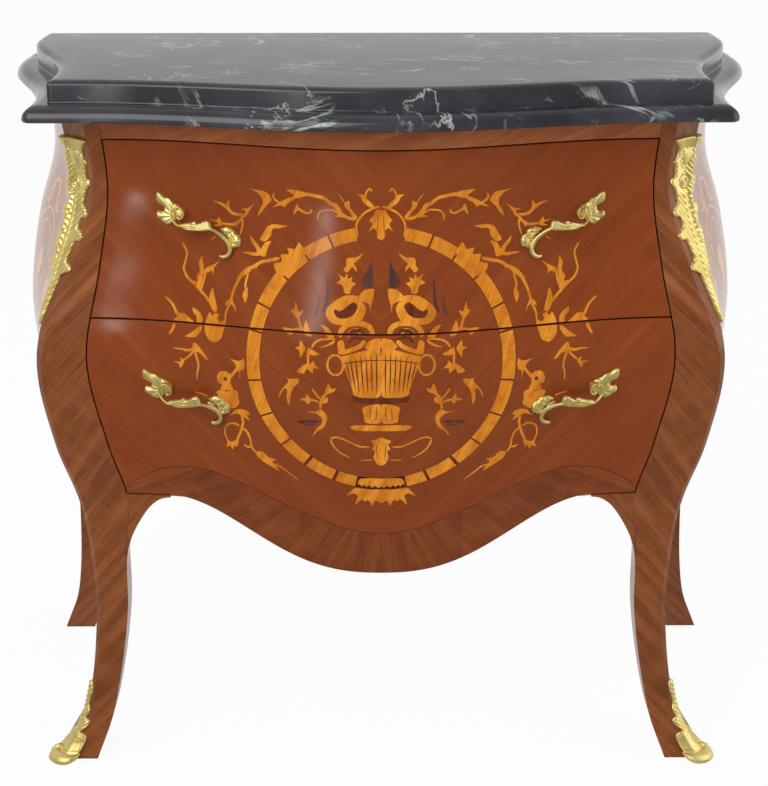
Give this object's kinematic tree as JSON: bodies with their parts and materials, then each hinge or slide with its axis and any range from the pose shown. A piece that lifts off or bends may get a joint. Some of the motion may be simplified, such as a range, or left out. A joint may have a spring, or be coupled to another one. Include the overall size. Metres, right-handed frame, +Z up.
{
  "type": "bombe chest of drawers",
  "caption": "Bombe commode with a serpentine swelling case, stacked sliding drawers, cabriole legs, gilt pulls and corner mounts, and a two-tier moulded marble top.",
  "frame": {"origin": "on the floor, under the middle of the overall box", "axes": "+X to the right seen from the front, +Y from the front to the back, +Z up"},
  "size_m": [0.9594, 0.51, 0.87],
  "materials": {
    "marble": "polished, pale veins",
    "mahogany": "gloss lacquer over reddish veneer",
    "kingwood": "gloss lacquer over darker banded veneer",
    "secondary_wood": "plain satin",
    "gilt_brass": "gilt, cast and burnished",
    "bolt_iron": "plain"
  },
  "bodies": {
    "case": {"front_leg_left": "kingwood", "back_leg_left": "kingwood", "side_panel_left": "mahogany", "top_side_rail_left": "secondary_wood", "upper_runner_left": "secondary_wood", "lower_runner_left": "secondary_wood", "kicker_left": "secondary_wood", "front_leg_right": "kingwood", "back_leg_right": "kingwood", "side_panel_right": "mahogany", "top_side_rail_right": "secondary_wood", "upper_runner_right": "secondary_wood", "lower_runner_right": "secondary_wood", "kicker_right": "secondary_wood", "marble_top": "marble", "corner_mounts": "gilt_brass", "sabots": "gilt_brass", "top_front_rail": "kingwood", "top_back_rail": "secondary_wood", "divider_rail": "secondary_wood", "dust_panel": "secondary_wood", "bottom_front_rail": "secondary_wood", "bottom_back_rail": "secondary_wood", "bottom_board": "secondary_wood", "back_panel": "secondary_wood", "drawer_stops": "secondary_wood"},
    "upper_drawer": {"upper_drawer_front": "mahogany", "upper_drawer_side_right": "secondary_wood", "upper_drawer_side_left": "secondary_wood", "upper_drawer_back": "secondary_wood", "upper_drawer_bottom": "secondary_wood", "upper_pulls": "gilt_brass", "upper_pull_bolts": "bolt_iron"},
    "lower_drawer": {"lower_drawer_front": "mahogany", "lower_drawer_side_right": "secondary_wood", "lower_drawer_side_left": "secondary_wood", "lower_drawer_back": "secondary_wood", "lower_drawer_bottom": "secondary_wood", "lower_pulls": "gilt_brass", "lower_pull_bolts": "bolt_iron"}
  },
  "joints": [
    {"name": "upper_drawer_slide", "type": "slide", "parent": "case", "child": "upper_drawer", "axis": [0, -1, 0], "range_m": [0, 0.3]},
    {"name": "lower_drawer_slide", "type": "slide", "parent": "case", "child": "lower_drawer", "axis": [0, -1, 0], "range_m": [0, 0.3]}
  ]
}
